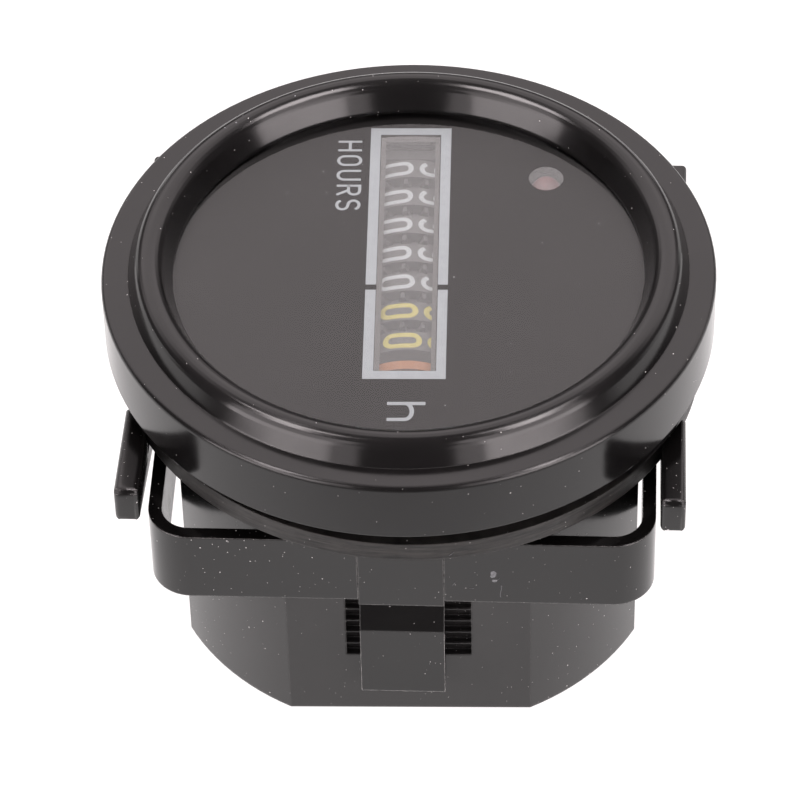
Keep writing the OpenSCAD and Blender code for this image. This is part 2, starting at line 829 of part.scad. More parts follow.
module coil_core() {
    color("#9a9da1")
        difference() {
            translate([-stator_half, stator_y, coil_z - core_h / 2])
                cube([2 * stator_half, stator_t, core_h]);
            for (side = [-1, 1])
                rod(side * leg_mid, coil_z, core_y + join, stator_t + 2 * join, screw_r);
        }
}

module coil_bobbin() {
    l = coil_l + 2 * bobbin_flange_t;
    slack = 0.05;
    color("#e6e2d4")
        difference() {
            union() {
                cross_rod(-l / 2, coil_y, coil_z, l, bobbin_r);
                for (x = [-l / 2, coil_l / 2])
                    cross_rod(x, coil_y, coil_z, bobbin_flange_t, bobbin_flange_r);
            }
            translate([-l, stator_y - slack, coil_z - core_h / 2 - slack])
                cube([2 * l, stator_t + 2 * slack, core_h + 2 * slack]);
        }
}

module coil_winding() {
    color("#b5713a")
        difference() {
            cross_rod(-coil_l / 2, coil_y, coil_z, coil_l, coil_r);
            cross_rod(-coil_l / 2 - join, coil_y, coil_z, coil_l + 2 * join, bobbin_r);
        }
}

module coil_leads() {
    start = coil_l / 2 + bobbin_flange_t;
    lead_r = 0.12;
    lead_gap = 0.5;
    lead_y = max(core_y + 1.2, slot_depth + lead_gap - board_half);
    lead_up = 1.6;
    color("#b5713a")
        for (side = [-1, 1])
            cross_rod(start, lead_y, coil_z + side * lead_up, board_x - start, lead_r);
}

module circuit_board() {
    color("#2f6b45")
        translate([board_x, -board_half, floor_z])
            cube([board_t, 2 * board_half, board_top - floor_z]);
}

module quartz_crystal() {
    can_r = 1;
    can_l = 6;
    leg_l = 2;
    leg_r = 0.15;
    leg_pitch = 0.7;
    bar_w = 1;
    x = board_x - can_r;
    y = board_along(0.29);
    z = board_up(0.52);
    color("#c4c6c8") {
        translate([x, y, z])
            cylinder(r = can_r, h = can_l, $fn = small_fn);
        for (side = [-1, 1])
            translate([x, y + side * leg_pitch / 2, z - leg_l])
                cylinder(r = leg_r, h = leg_l + join, $fn = small_fn);
        translate([x - leg_r, y - bar_w / 2, z - leg_l])
            cube([can_r + leg_r, bar_w, 2 * leg_r]);
    }
}

// Driver chip: a flat package with four legs on each side
module driver_chip() {
    chip_t = 1.5;
    chip_w = 4;
    chip_l = 5;
    lift = 0.1;
    leg_pitch = 1.27;
    leg_w = 0.4;
    leg_out = 0.9;
    color("#26272a")
        translate([board_x - chip_t - lift, -board_along(0.23) - chip_w / 2, board_up(0.52)]) {
            cube([chip_t, chip_w, chip_l]);
            for (k = [0:3], y = [-leg_out, chip_w - join])
                translate([chip_t / 2, y, leg_w + k * leg_pitch])
                    cube([chip_t / 2 + lift, leg_out + join, leg_w]);
        }
}

module capacitor() {
    r = 2.5;
    y = board_along(0.35);
    reach = min(in_flat, sqrt(pow(in_r, 2) - pow(y + r, 2))) - board_gap;
    color("#2c3e63")
        cross_rod(board_out_x, y, board_up(0.66), reach - board_out_x, r);
}

module rectifier() {
    rectifier_t = 2.6;
    rectifier_w = 6.5;
    color("#26272a")
        translate([board_out_x, -board_along(0.58), board_up(0.555)])
            cube([rectifier_t, rectifier_w, rectifier_w]);
}

// Resistor along the board, with its leads bent down to it
module resistor() {
    r = 1.1;
    l = 6.4;
    lead_l = 1.2;
    lead_r = 0.3;
    lift = r + 0.2;
    x = board_out_x + lift;
    z = board_up(0.235);
    color("#b99a72") {
        translate([x, 0, z])
            cylinder(r = r, h = l, $fn = small_fn);
        for (end = [z - lead_l, z + l - join])
            translate([x, 0, end])
                cylinder(r = lead_r, h = lead_l + join, $fn = small_fn);
        for (end = [z - lead_l + join, z + l + lead_l - join])
            cross_rod(board_out_x, 0, end, lift, lead_r);
    }
}

module frame_screws() {
    color("#a9acb0")
        for (x = [-pillar_x, pillar_x], y = pillar_ys) {
            translate([x, y, base_z - screw_bite])
                cylinder(r = screw_r, h = screw_bite + base_t + join, $fn = small_fn);
            translate([x, y, base_top])
                cylinder(r = screw_head_r, h = screw_head_h, $fn = small_fn);
        }
}

module stator_screws() {
    color("#a9acb0")
        for (side = [-1, 1]) {
            rod(side * leg_mid, rotor_z, stator_y + screw_head_h, screw_head_h, screw_head_r);
            rod(side * leg_mid, rotor_z, stator_y, stator_y - right_out_y, screw_r);
            rod(side * leg_mid, coil_z, core_y + screw_head_h, screw_head_h, screw_head_r);
            rod(side * leg_mid, coil_z, core_y, core_y - stator_end_y, screw_r);
        }
}

bezel();
lens();
dial_plate();
lamp();
panel_gasket();
housing();
terminal(1);  // terminal_left
terminal(-1);  // terminal_right
mounting_bracket();
counter_frame();
counter_shaft();
digit_wheel(0);  // wheel_ten_thousands
digit_wheel(1);  // wheel_thousands
digit_wheel(2);  // wheel_hundreds
digit_wheel(3);  // wheel_tens
digit_wheel(4);  // wheel_units
digit_wheel(5);  // wheel_tenths
digit_wheel(6);  // wheel_hundredths
drive_gear();
transfer_pinion(0);  // transfer_pinion_1
transfer_pinion(1);  // transfer_pinion_2
transfer_pinion(2);  // transfer_pinion_3
transfer_pinion(3);  // transfer_pinion_4
transfer_pinion(4);  // transfer_pinion_5
transfer_pinion(5);  // transfer_pinion_6
pinion_shaft();
intermediate_wheel();
intermediate_arbor();
rotor();
rotor_arbor();
stator();
coil_core();
coil_bobbin();
coil_winding();
coil_leads();
circuit_board();
quartz_crystal();
driver_chip();
capacitor();
rectifier();
resistor();
frame_screws();
stator_screws();
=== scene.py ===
# Looks of the panel hour meter: camera, light, materials, digits, legends and dust.
import math
import random

import bmesh
import bpy
from mathutils import Matrix, Vector


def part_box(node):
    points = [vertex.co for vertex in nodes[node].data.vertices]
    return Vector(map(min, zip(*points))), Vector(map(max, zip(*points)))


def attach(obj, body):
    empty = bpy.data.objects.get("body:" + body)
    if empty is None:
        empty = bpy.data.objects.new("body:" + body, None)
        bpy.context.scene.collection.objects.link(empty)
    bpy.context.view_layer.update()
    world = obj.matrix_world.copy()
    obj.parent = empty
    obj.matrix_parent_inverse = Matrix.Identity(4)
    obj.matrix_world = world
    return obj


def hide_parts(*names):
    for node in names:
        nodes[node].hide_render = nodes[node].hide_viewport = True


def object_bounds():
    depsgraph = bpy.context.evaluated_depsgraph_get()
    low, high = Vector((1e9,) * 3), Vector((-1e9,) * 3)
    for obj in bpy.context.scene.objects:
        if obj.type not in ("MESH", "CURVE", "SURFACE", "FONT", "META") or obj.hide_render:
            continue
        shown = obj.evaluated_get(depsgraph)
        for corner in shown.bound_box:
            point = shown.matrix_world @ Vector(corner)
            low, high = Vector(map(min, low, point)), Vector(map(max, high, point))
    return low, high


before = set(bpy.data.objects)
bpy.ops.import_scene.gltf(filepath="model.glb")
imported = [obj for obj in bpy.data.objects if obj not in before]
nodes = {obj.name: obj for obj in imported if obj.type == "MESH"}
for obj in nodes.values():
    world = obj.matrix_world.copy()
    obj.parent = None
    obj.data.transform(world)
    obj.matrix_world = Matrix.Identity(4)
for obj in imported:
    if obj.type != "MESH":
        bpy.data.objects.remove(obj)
cad_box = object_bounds()
scene = bpy.context.scene
MM = 0.001


# Camera, as fitted to the photo: angles in degrees, lengths in millimetres
AZIMUTH, ELEVATION, ROLL = 2.2, 45.43, -1.44
TARGET = (-0.69, -11.73, 0.0)
DISTANCE = 430.53
FOCAL_LENGTH = 202.7


def set_camera():
    az, el, roll = (math.radians(a) for a in (AZIMUTH, ELEVATION, ROLL))
    target = Vector(TARGET) * MM
    back = Vector((math.sin(az) * math.cos(el), -math.cos(az) * math.cos(el), math.sin(el)))
    right = Vector((math.cos(az), math.sin(az), 0.0))
    up = back.cross(right)
    x_axis = right * math.cos(roll) + up * math.sin(roll)
    y_axis = up * math.cos(roll) - right * math.sin(roll)
    data = bpy.data.cameras.new("camera")
    data.sensor_width = 36.0
    data.lens = FOCAL_LENGTH
    data.clip_start = 0.01
    data.clip_end = 20.0
    cam = bpy.data.objects.new("camera", data)
    scene.collection.objects.link(cam)
    m = Matrix((x_axis, y_axis, back)).transposed().to_4x4()
    m.translation = target + back * DISTANCE * MM
    cam.matrix_world = m
    scene.camera = cam


# Node helpers
class Mat:
    """A material with a Principled surface and short ways to add nodes to it."""

    def __init__(self, name):
        self.m = bpy.data.materials.new(name)
        self.m.use_nodes = True
        self.t = self.m.node_tree
        self.bsdf = self.t.nodes["Principled BSDF"]
        self.out = self.t.nodes["Material Output"]
        self.coord = self.node("ShaderNodeTexCoord").outputs["Object"]
        self.normal = None

    def node(self, kind, **values):
        n = self.t.nodes.new(kind)
        for k, v in values.items():
            setattr(n, k, v)
        return n

    def link(self, a, b):
        self.t.links.new(a, b)

    def put(self, **values):
        for k, v in values.items():
            socket = self.bsdf.inputs[k.replace("_", " ")]
            if hasattr(v, "is_output"):
                self.link(v, socket)
            else:
                socket.default_value = v

    def noise(self, scale, detail=3.0, rough=0.5, stretch=None):
        n = self.node("ShaderNodeTexNoise")
        n.inputs["Scale"].default_value = scale
        n.inputs["Detail"].default_value = detail
        n.inputs["Roughness"].default_value = rough
        source = self.coord
        if stretch:
            mp = self.node("ShaderNodeMapping")
            mp.inputs["Scale"].default_value = stretch
            self.link(self.coord, mp.inputs["Vector"])
            source = mp.outputs["Vector"]
        self.link(source, n.inputs["Vector"])
        return n.outputs["Fac"]

    def ramp(self, fac, low, high, a=0.0, b=1.0):
        n = self.node("ShaderNodeMapRange")
        n.inputs["From Min"].default_value = low
        n.inputs["From Max"].default_value = high
        n.inputs["To Min"].default_value = a
        n.inputs["To Max"].default_value = b
        self.link(fac, n.inputs["Value"])
        return n.outputs["Result"]

    def math(self, op, a, b=None):
        n = self.node("ShaderNodeMath", operation=op)
        for i, v in enumerate((a, b)):
            if v is None:
                continue
            if hasattr(v, "is_output"):
                self.link(v, n.inputs[i])
            else:
                n.inputs[i].default_value = v
        return n.outputs["Value"]

    def mix(self, fac, a, b):
        n = self.node("ShaderNodeMix", data_type="RGBA")
        for key, v in (("A", a), ("B", b)):
            socket = [s for s in n.inputs if s.name == key and s.type == "RGBA"][0]
            if hasattr(v, "is_output"):
                self.link(v, socket)
            else:
                socket.default_value = tuple(v) + (1.0,) if len(v) == 3 else v
        f = n.inputs["Factor"]
        self.link(fac, f)
        return [s for s in n.outputs if s.type == "RGBA"][0]

    def bump(self, height, strength, distance):
        n = self.node("ShaderNodeBump")
        n.inputs["Strength"].default_value = strength
        n.inputs["Distance"].default_value = distance
        self.link(height, n.inputs["Height"])
        if self.normal is not None:
            self.link(self.normal, n.inputs["Normal"])
        self.normal = n.outputs["Normal"]

    def bevel(self, radius):
        n = self.node("ShaderNodeBevel")
        n.samples = 4
        n.inputs["Radius"].default_value = radius
        self.normal = n.outputs["Normal"]

    def edges(self, radius, soft=0.1):
        """A mask of the outer and inner edges: where a rounded normal leaves the true one."""
        n = self.node("ShaderNodeBevel")
        n.samples = 4
        n.inputs["Radius"].default_value = radius
        geo = self.node("ShaderNodeNewGeometry")
        dot = self.node("ShaderNodeVectorMath", operation="DOT_PRODUCT")
        self.link(n.outputs["Normal"], dot.inputs[0])
        self.link(geo.outputs["Normal"], dot.inputs[1])
        return self.ramp(dot.outputs["Value"], 1.0 - 0.2 * soft, 1.0 - soft)

    def specks(self, cell, size, share):
        """A mask of sparse round specks: one in some of the cells of a random pattern."""
        v = self.node("ShaderNodeTexVoronoi", feature="F1")
        v.inputs["Scale"].default_value = 1.0 / cell
        v.inputs["Randomness"].default_value = 1.0
        self.link(self.coord, v.inputs["Vector"])
        sep = self.node("ShaderNodeSeparateColor")
        self.link(v.outputs["Color"], sep.inputs["Color"])
        chosen = self.math("LESS_THAN", sep.outputs["Red"], share)
        radius = self.ramp(sep.outputs["Green"], 0.0, 1.0, 0.35 * size / cell, size / cell)
        inside = self.math("LESS_THAN", v.outputs["Distance"], radius)
        return self.math("MULTIPLY", chosen, inside)

    def done(self):
        if self.normal is not None:
            self.link(self.normal, self.bsdf.inputs["Normal"])
        return self.m


DUST = (0.5, 0.49, 0.48)


def black_plastic(name, base, rough, gloss, bevel, dust, edge_glint, grain=0.05, low=None, ends=None):
    """Moulded black plastic: slow tone and gloss changes, fine grain, painted highlights along the edges,
    specks of dust.
    The painted edge highlights are stronger below the height low, and edges beyond ends on both sides are
    rounder."""
    m = Mat(name)
    at = m.node("ShaderNodeSeparateXYZ")
    m.link(m.coord, at.inputs["Vector"])
    m.bevel(bevel)
    if ends:
        far = m.math("ABSOLUTE", at.outputs["X"])
        m.link(m.ramp(far, ends, ends + 0.0003, bevel, 3 * bevel), m.normal.node.inputs["Radius"])
    slow = m.math("MULTIPLY", m.noise(90.0, 4.0), 0.7)
    fine = m.math("MULTIPLY", m.noise(1400.0, 3.0), 0.3)
    tone = m.math("ADD", slow, fine)
    color = m.mix(m.ramp(tone, 0.35, 0.65), tuple(c * 0.8 for c in base), tuple(c * 1.25 for c in base))
    patchy = m.ramp(m.noise(1700.0, 4.0), 0.35, 0.65, 0.25, 1.0)
    # Painted highlight: pale lines along the edges, in patches, stand in for the glints of rounded edges, and
    # are stronger on edges below the height low.
    painted_glint = m.math("MULTIPLY", m.edges(0.0001 if low else 0.00007), patchy)
    if low:
        painted_glint = m.math("MULTIPLY", painted_glint, m.ramp(at.outputs["Z"], low, low + 0.0005, 1.0, 0.4))
    color = m.mix(painted_glint, color, (edge_glint, edge_glint * 0.97, edge_glint * 0.95))
    speck = m.math("MAXIMUM", m.specks(0.0016, 0.00011, dust), m.specks(0.0005, 0.00005, dust))
    speck = m.math("MAXIMUM", speck, m.specks(0.0009, 0.00008, dust))
    color = m.mix(speck, color, DUST)
    shine = m.ramp(m.noise(260.0, 5.0), 0.3, 0.7, rough - 0.03, rough + 0.03)
    m.put(Base_Color=color, Roughness=m.math("MAXIMUM", shine, m.math("MULTIPLY", speck, 0.9)),
          Specular_IOR_Level=gloss)
    if grain:
        m.bump(m.noise(9000.0, 2.0), grain, 0.00001)
    return m.done()


def plain(name, base, rough, metal=0.0, stretch=None):
    """Plain moulded or metal surface with small tone, gloss and height changes."""
    m = Mat(name)
    tone = m.ramp(m.noise(300.0, 4.0, stretch=stretch), 0.3, 0.7)
    color = m.mix(tone, tuple(c * 0.85 for c in base), tuple(c * 1.15 for c in base))
    m.put(Base_Color=color, Metallic=metal,
          Roughness=m.ramp(m.noise(900.0, 4.0, stretch=stretch), 0.3, 0.7, rough * 0.8, rough * 1.2))
    m.bump(m.noise(4000.0, 2.0, stretch=stretch), 0.15, 0.00002)
    return m.done()


def make_clear(name, gloss_share, specks):
    """Clear plastic: mostly see-through, with a mirror gloss that rises at flat angles. gloss_share is
    the gloss of all faces together, counted at the outer one, as a multiple of one face's."""
    m = Mat(name)
    t = m.t
    t.nodes.remove(m.bsdf)
    clear = m.node("ShaderNodeBsdfTransparent")
    clear.inputs["Color"].default_value = (0.97, 0.975, 0.975, 1.0)
    gloss = m.node("ShaderNodeBsdfGlossy")
    gloss.inputs["Roughness"].default_value = 0.0
    fres = m.node("ShaderNodeFresnel")
    fres.inputs["IOR"].default_value = 1.5
    geo = m.node("ShaderNodeNewGeometry")
    front = m.math("MULTIPLY", m.math("SUBTRACT", 1.0, geo.outputs["Backfacing"]), gloss_share)
    mixed = m.node("ShaderNodeMixShader")
    m.link(m.math("MULTIPLY", fres.outputs["Fac"], front), mixed.inputs["Fac"])
    m.link(clear.outputs["BSDF"], mixed.inputs[1])
    m.link(gloss.outputs["BSDF"], mixed.inputs[2])
    dust = m.node("ShaderNodeBsdfDiffuse")
    dust.inputs["Color"].default_value = (0.6, 0.6, 0.6, 1.0)
    top = m.node("ShaderNodeMixShader")
    m.link(m.specks(0.0018, 0.00007, specks), top.inputs["Fac"])
    m.link(mixed.outputs["Shader"], top.inputs[1])
    m.link(dust.outputs["BSDF"], top.inputs[2])
    m.link(top.outputs["Shader"], m.out.inputs["Surface"])
    return m.m


def make_dial():
    """Dial: black film on a grey plate, whose colour shows at the window's chamfer."""
    m = Mat("dial_black")
    tone = m.ramp(m.noise(120.0, 4.0), 0.35, 0.65)
    color = m.mix(tone, (0.013, 0.0121, 0.0121), (0.016, 0.0149, 0.0149))
    color = m.mix(m.specks(0.0009, 0.00006, 0.12), color, (0.12, 0.11, 0.105))
    geo = m.node("ShaderNodeNewGeometry")
    up = m.node("ShaderNodeSeparateXYZ")
    m.link(geo.outputs["Normal"], up.inputs["Vector"])
    at = m.node("ShaderNodeSeparateXYZ")
    m.link(m.coord, at.inputs["Vector"])
    inside = m.math("LESS_THAN", m.math("ABSOLUTE", at.outputs["X"]), 0.005)
    cut = m.math("MULTIPLY", m.math("LESS_THAN", up.outputs["Z"], 0.9), inside)
    grain = m.ramp(m.noise(2500.0, 3.0), 0.3, 0.7)
    plate = m.mix(grain, (0.1, 0.094, 0.091), (0.12, 0.114, 0.11))
    m.put(Base_Color=m.mix(cut, color, plate), Roughness=m.ramp(m.noise(60.0, 1.0), 0.3, 0.7, 0.48, 0.52),
          Specular_IOR_Level=0.1)
    return m.done()


def make_rubber():
    """Gasket rubber with cut marks that run round it, and a painted highlight along its edges."""
    m = Mat("gasket_rubber")
    m.bevel(0.0002)
    streak = m.noise(260.0, 5.0, 0.65, stretch=(1.0, 1.0, 14.0))
    color = m.mix(m.ramp(streak, 0.35, 0.65), (0.003, 0.003, 0.003), (0.034, 0.031, 0.029))
    # Painted highlight: pale lines along the edges, in patches, stand in for the glints of rounded edges.
    painted_glint = m.math("MULTIPLY", m.edges(0.00012), m.ramp(m.noise(900.0, 4.0), 0.45, 0.6))
    color = m.mix(painted_glint, color, (0.055, 0.05, 0.046))
    speck = m.math("MAXIMUM", m.specks(0.0012, 0.0001, 0.3), m.specks(0.0006, 0.00006, 0.3))
    m.put(Base_Color=m.mix(speck, color, DUST), Specular_IOR_Level=0.4,
          Roughness=m.ramp(m.noise(1200.0, 3.0), 0.3, 0.7, 0.4, 0.55))
    m.bump(m.noise(500.0, 4.0, 0.6, stretch=(1.0, 1.0, 10.0)), 0.6, 0.00005)
    m.bump(m.noise(3000.0, 3.0), 0.2, 0.00003)
    return m.done()


def make_lamp():
    m = Mat("lamp_lens")
    tone = m.noise(600.0, 3.0)
    color = m.mix(m.ramp(tone, 0.35, 0.65), (0.11, 0.022, 0.022), (0.15, 0.034, 0.034))
    m.put(Base_Color=color, Roughness=m.ramp(tone, 0.3, 0.7, 0.3, 0.45), Subsurface_Weight=0.3,
          Subsurface_Scale=0.001, Subsurface_Radius=(1.0, 0.25, 0.2))
    return m.done()


def make_orange():
    """Drum of the drive gear: satin plastic with a pale parting line."""
    m = Mat("gear_orange")
    tone = m.ramp(m.noise(300.0, 4.0), 0.3, 0.7)
    color = m.mix(tone, (0.29, 0.088, 0.005), (0.34, 0.106, 0.008))
    sep = m.node("ShaderNodeSeparateXYZ")
    m.link(m.coord, sep.inputs["Vector"])
    away = m.math("ABSOLUTE", m.math("ADD", sep.outputs["X"], 0.0006))
    line = m.math("LESS_THAN", away, 0.00006)
    m.put(Base_Color=m.mix(line, color, (0.42, 0.17, 0.04)),
          Roughness=m.ramp(m.noise(900.0, 4.0), 0.3, 0.7, 0.35, 0.5))
    m.bump(m.noise(4000.0, 2.0), 0.15, 0.00002)
    return m.done()


def make_lint():
    m = Mat("lint_white")
    tone = m.ramp(m.noise(5000.0, 4.0), 0.3, 0.7)
    m.put(Base_Color=m.mix(tone, (0.1, 0.1, 0.106), (0.28, 0.287, 0.3)), Roughness=0.95)
    m.bump(m.noise(9000.0, 3.0), 0.6, 0.00003)
    return m.done()


def ink(name, color):
    m = Mat(name)
    tone = m.ramp(m.noise(1500.0, 5.0), 0.3, 0.7)
    m.put(Base_Color=m.mix(tone, tuple(c * 0.9 for c in color), color),
          Roughness=m.ramp(m.noise(2500.0, 2.0), 0.3, 0.7, 0.45, 0.6))
    m.bump(m.noise(6000.0, 2.0), 0.1, 0.00001)
    return m.done()


def make_board():
    m = Mat("board_green")
    weave = m.noise(2600.0, 2.0, stretch=(1.0, 1.0, 0.4))
    color = m.mix(m.ramp(weave, 0.35, 0.65), (0.02, 0.11, 0.045), (0.035, 0.17, 0.07))
    m.put(Base_Color=color, Roughness=m.ramp(weave, 0.3, 0.7, 0.3, 0.42))
    m.bump(weave, 0.2, 0.00003)
    return m.done()


def dress():
    looks = {
        # The number after the dust share is the brightness of each part's painted edge highlight.
        "bezel": black_plastic("bezel_gloss", (0.006, 0.0056, 0.0057), 0.15, 0.41, 0.0002, 0.12, 0.06,
                               grain=0.0),
        "housing": black_plastic("housing_satin", (0.014, 0.0131, 0.0131), 0.18, 0.52, 0.0004, 0.3, 0.15),
        "mounting_bracket": black_plastic("bracket_satin", (0.004, 0.0037, 0.0037), 0.13, 0.52, 0.00025,
                                          0.5, 0.95, low=-0.02, ends=0.0262),
        "dial_plate": make_dial(),
        "lens": make_clear("clear_lens", 1.0, 0.5),
        "panel_gasket": make_rubber(),
        "lamp": make_lamp(),
        "circuit_board": make_board(),
        "drive_gear": make_orange(),
        "counter_frame": plain("frame_grey", (0.06, 0.058, 0.057), 0.5),
        "rotor": plain("magnet_grey", (0.1, 0.1, 0.11), 0.45, 0.5),
        "driver_chip": plain("chip_black", (0.02, 0.02, 0.021), 0.45),
        "rectifier": plain("rectifier_black", (0.022, 0.022, 0.023), 0.4),
        "capacitor": plain("capacitor_blue", (0.03, 0.06, 0.16), 0.3),
        "resistor": plain("resistor_tan", (0.5, 0.35, 0.18), 0.35),
        "quartz_crystal": plain("can_metal", (0.62, 0.62, 0.62), 0.3, 1.0),
    }
    wheel = plain("wheel_black", (0.06, 0.058, 0.057), 0.45)
    natural = plain("gear_natural", (0.72, 0.69, 0.62), 0.45)
    steel = plain("shaft_steel", (0.6, 0.6, 0.61), 0.22, 1.0, stretch=(8.0, 0.3, 8.0))
    iron = plain("motor_iron", (0.4, 0.4, 0.41), 0.4, 1.0)
    copper = plain("copper_wire", (0.55, 0.22, 0.09), 0.35, 0.6, stretch=(12.0, 1.0, 1.0))
    tin = plain("terminal_tin", (0.66, 0.63, 0.55), 0.3, 1.0, stretch=(1.0, 1.0, 0.2))
    zinc = plain("screw_zinc", (0.5, 0.5, 0.5), 0.35, 1.0)
    shared = {"frame_screws": zinc, "stator_screws": zinc, "stator": iron, "coil_core": iron,
              "coil_winding": copper, "coil_leads": copper, "coil_bobbin": natural, "transfer": natural,
              "intermediate_wheel": natural, "counter_shaft": steel, "pinion_shaft": steel,
              "intermediate_arbor": steel, "rotor_arbor": steel, "wheel": wheel, "terminal": tin}
    for key, mat in shared.items():
        for name in nodes:
            if name.startswith(key) and name not in looks:
                looks[name] = mat
    for name, obj in nodes.items():
        for s in obj.material_slots:
            s.material = looks[name]


# Stroke lettering
def arc(cx, cy, rx, ry, a0, a1, n=10):
    return [(cx + rx * math.cos(math.radians(a0 + (a1 - a0) * i / n)),
             cy + ry * math.sin(math.radians(a0 + (a1 - a0) * i / n))) for i in range(n + 1)]


def glyph(c, w, h):
    """Centre lines of a character in a box from (-w/2, -h/2) to (w/2, h/2): (points, closed) pairs."""
    r = w / 2
    t, b = h / 2, -h / 2
    if c in "0O":
        return [(arc(0, t - r, r, r, 0, 180) + arc(0, b + r, r, r, 180, 360), True)]
    if c == "1":
        return [([(-r * 0.55, t - 0.22 * h), (r * 0.1, t), (r * 0.1, b)], False)]
    if c == "2":
        return [(arc(0, t - r, r, r, 160, -35) + [(-r, b), (r, b)], False)]
    if c == "3":
        q = h / 4
        return [(arc(0, q, r, q, 150, -90) + arc(0, -q, r, q, 90, -150)[1:], False)]
    if c == "4":
        return [([(r * 0.45, b), (r * 0.45, t), (-r, b + 0.3 * h), (r, b + 0.3 * h)], False)]
    if c == "5":
        q = 0.3 * h
        return [([(r * 0.9, t), (-r * 0.8, t), (-r * 0.9, 0.05 * h)] + arc(0, b + q, r, q, 125, -145), False)]
    if c in "69":
        k = 0.28 * h
        loop = (arc(0, b + k, r, k, 0, 360, 18)[:-1], True)
        tail = (arc(0, t - r, r, r, 30, 180) + [(-r, b + k)], False)
        if c == "6":
            return [loop, tail]
        return [([(-x, -y) for x, y in pts], closed) for pts, closed in (loop, tail)]
    if c == "7":
        return [([(-r, t), (r, t), (-r * 0.3, b)], False)]
    if c == "8":
        q = h / 4
        return [(arc(0, q, r * 0.9, q, -90, 270, 18)[:-1], True), (arc(0, -q, r, q, 90, 450, 18)[:-1], True)]
    if c == "H":
        return [([(-r, t), (-r, b)], False), ([(r, t), (r, b)], False), ([(-r, 0), (r, 0)], False)]
    if c == "U":
        return [([(-r, t)] + arc(0, b + r, r, r, 180, 360) + [(r, t)], False)]
    if c == "R":
        q = h / 4
        bowl = arc(r - q * 0.9, q, q * 0.9, q, 90, -90)[1:-1]
        return [([(-r, b), (-r, t), (0, t)] + bowl + [(0, 0), (-r, 0)], False), ([(0, 0), (r, b)], False)]
    if c == "S":
        q = h / 4
        return [(arc(0, q, r, q, 25, 270) + arc(0, -q, r, q, 90, -155)[1:], False)]
    if c == "h":
        bow = arc(0, -0.04 * h, r, 0.2 * h, 165, 0)
        return [([(-r, t), (-r, b)], False), ([(-r, 0.02 * h)] + bow + [(r, b)], False)]
    raise ValueError(c)


def ribbon(points, closed, width):
    """Left and right edge points of a flat stroke along the centre line."""
    pts = [Vector(p) for p in points]
    if not closed:
        a = (pts[1] - pts[0]).normalized() * width * 0.25
        b = (pts[-1] - pts[-2]).normalized() * width * 0.25
        pts = [pts[0] - a] + pts + [pts[-1] + b]
    n = len(pts)
    left, right = [], []
    for i in range(n):
        p0 = pts[i - 1] if i or closed else pts[i]
        p2 = pts[(i + 1) % n] if i < n - 1 or closed else pts[i]
        d0 = (pts[i] - p0)
        d1 = (p2 - pts[i])
        d0 = d0.normalized() if d0.length > 1e-9 else d1.normalized()
        d1 = d1.normalized() if d1.length > 1e-9 else d0
        t = (d0 + d1)
        t = t.normalized() if t.length > 1e-6 else d0
        side = Vector((-t.y, t.x))
        k = width / 2 / max(0.45, side.dot(Vector((-d0.y, d0.x))))
        left.append(pts[i] + side * k)
        right.append(pts[i] - side * k)
    return left, right


def strokes_mesh(name, strokes, place, material, body):
    """One mesh of flat strokes. strokes holds (points, closed, width), and place maps
    (u, v, lift) to a point."""
    verts, faces = [], []
    for k, (points, closed, width) in enumerate(strokes):
        left, right = ribbon(points, closed, width)
        lift = (k % 5) * 2e-6
        base = len(verts)
        n = len(left)
        for a, b in zip(left, right):
            verts.append(place(a.x, a.y, lift))
            verts.append(place((a.x + b.x) / 2, (a.y + b.y) / 2, lift))
            verts.append(place(b.x, b.y, lift))
        for i in range(n if closed else n - 1):
            p, q = base + 3 * i, base + 3 * ((i + 1) % n)
            faces.append((p, p + 1, q + 1, q))
            faces.append((p + 1, p + 2, q + 2, q + 1))
    return add_mesh(name, verts, faces, material, body)


def add_mesh(name, verts, faces, material, body):
    mesh = bpy.data.meshes.new(name)
    mesh.from_pydata([tuple(v) for v in verts], [], faces)
    mesh.update()
    obj = bpy.data.objects.new(name, mesh)
    scene.collection.objects.link(obj)
    mesh.materials.append(material)
    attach(obj, body)
    return obj


# Digits and legends, in millimetres, with the turn of each wheel's nought in degrees
WHEELS = ["ten_thousands", "thousands", "hundreds", "tens", "units", "tenths", "hundredths"]
PHASE = [-14.2, -14.2, -14.0, -14.0, -10.8, -7.7, -4.1]
FIRST_YELLOW = 5
DIGIT_SIZE = (1.45, 3.28)
WHITE_STROKE, YELLOW_STROKE = 0.5, 0.55
HOURS_SIZE, HOURS_STROKE, HOURS_STEP, HOURS_START, HOURS_LINE = (1.27, 2.2), 0.3, 2.15, -19.8, -6.17
UNIT_SIZE, UNIT_STROKE, UNIT_PLACE = (2.1, 3.4), 0.42, (18.25, 0.1)
FRAME_FAR, FRAME_FAR_IN, FRAME_NEAR_IN, FRAME_NEAR = 21.35, 20.38, -12.86, -13.95
FRAME_GAP = (-1.12, -1.83)
FRAME_SIDES = {"left_out": (-4.15, -4.15), "left_in": (-3.14, -3.12),
               "right_in": (2.85, 2.83), "right_out": (3.88, 3.75)}


def add_digits(white, yellow):
    for k, name in enumerate(WHEELS):
        lo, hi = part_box("wheel_" + name)
        radius = (hi[0] - lo[0]) / 2 + 0.00002
        axis_z = (hi[2] + lo[2]) / 2
        mid_y = (hi[1] + lo[1]) / 2
        ink_used, stroke = (yellow, YELLOW_STROKE) if k >= FIRST_YELLOW else (white, WHITE_STROKE)
        strokes = []
        for d in range(10):
            turn = math.radians(PHASE[k] - 36.0 * d)
            for points, closed in glyph(str(d), *DIGIT_SIZE):
                shifted = [(u, v + turn * radius / MM) for u, v in points]
                strokes.append((dense(shifted, closed), closed, stroke))

        def place(u, v, lift):
            a = v * MM / radius
            r = radius + lift
            return (r * math.sin(a), mid_y - u * MM, axis_z + r * math.cos(a))

        strokes_mesh("digits_" + name, strokes, place, ink_used, name)


